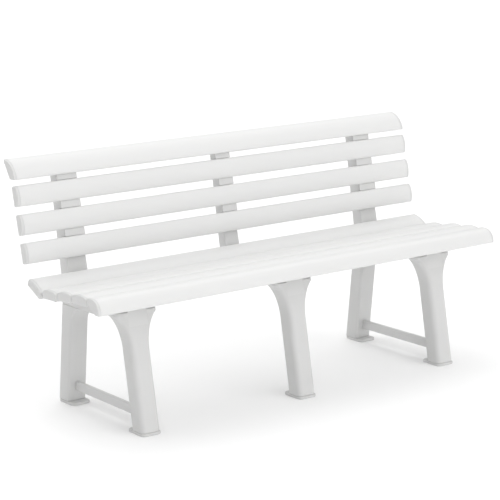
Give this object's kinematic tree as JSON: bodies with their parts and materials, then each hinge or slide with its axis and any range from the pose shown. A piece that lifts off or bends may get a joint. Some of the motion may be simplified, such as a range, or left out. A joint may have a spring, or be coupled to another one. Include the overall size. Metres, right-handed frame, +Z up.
{
  "type": "garden bench",
  "caption": "Slatted resin garden bench with a leaning slatted back, a rolled top rail and flared legs on flat feet.",
  "frame": {"origin": "on the ground under the middle of the bench's bounding box", "axes": "+X along the seat, to the right for someone who looks at the bench's front; +Y from the front edge towards the back; +Z up"},
  "size_m": [1.45, 0.49, 0.74],
  "materials": {
    "slat_plastic": "satin white resin extrusion with faint lengthwise lines",
    "cap_plastic": "satin white injection-moulded resin with a fine texture",
    "frame_plastic": "satin white injection-moulded resin with a fine texture",
    "foot_plastic": "matte off-white moulded resin, slightly worn under the edge",
    "fastener_steel": "zinc-plated steel"
  },
  "bodies": {
    "root": {"seat_slat_1": "slat_plastic", "seat_slat_1_cap_left": "cap_plastic", "seat_slat_1_cap_right": "cap_plastic", "seat_slat_2": "slat_plastic", "seat_slat_2_cap_left": "cap_plastic", "seat_slat_2_cap_right": "cap_plastic", "seat_slat_3": "slat_plastic", "seat_slat_3_cap_left": "cap_plastic", "seat_slat_3_cap_right": "cap_plastic", "seat_slat_4": "slat_plastic", "seat_slat_4_cap_left": "cap_plastic", "seat_slat_4_cap_right": "cap_plastic", "seat_slat_5": "slat_plastic", "seat_slat_5_cap_left": "cap_plastic", "seat_slat_5_cap_right": "cap_plastic", "back_slat_1": "slat_plastic", "back_slat_1_cap_left": "cap_plastic", "back_slat_1_cap_right": "cap_plastic", "back_slat_2": "slat_plastic", "back_slat_2_cap_left": "cap_plastic", "back_slat_2_cap_right": "cap_plastic", "back_slat_3": "slat_plastic", "back_slat_3_cap_left": "cap_plastic", "back_slat_3_cap_right": "cap_plastic", "back_slat_4": "slat_plastic", "back_slat_4_cap_left": "cap_plastic", "back_slat_4_cap_right": "cap_plastic", "front_leg_left": "frame_plastic", "seat_bearer_left": "frame_plastic", "back_post_left": "frame_plastic", "front_foot_left": "foot_plastic", "leg_bolt_left": "fastener_steel", "leg_nut_left": "fastener_steel", "post_screw_1_left": "fastener_steel", "post_screw_2_left": "fastener_steel", "front_leg_middle": "frame_plastic", "seat_bearer_middle": "frame_plastic", "back_post_middle": "frame_plastic", "front_foot_middle": "foot_plastic", "leg_bolt_middle": "fastener_steel", "leg_nut_middle": "fastener_steel", "post_screw_1_middle": "fastener_steel", "post_screw_2_middle": "fastener_steel", "front_leg_right": "frame_plastic", "seat_bearer_right": "frame_plastic", "back_post_right": "frame_plastic", "front_foot_right": "foot_plastic", "leg_bolt_right": "fastener_steel", "leg_nut_right": "fastener_steel", "post_screw_1_right": "fastener_steel", "post_screw_2_right": "fastener_steel", "rear_leg_left": "frame_plastic", "stretcher_left": "frame_plastic", "rear_foot_left": "foot_plastic", "rear_leg_screw_left": "fastener_steel", "rear_leg_right": "frame_plastic", "stretcher_right": "frame_plastic", "rear_foot_right": "foot_plastic", "rear_leg_screw_right": "fastener_steel"}
  },
  "joints": []
}
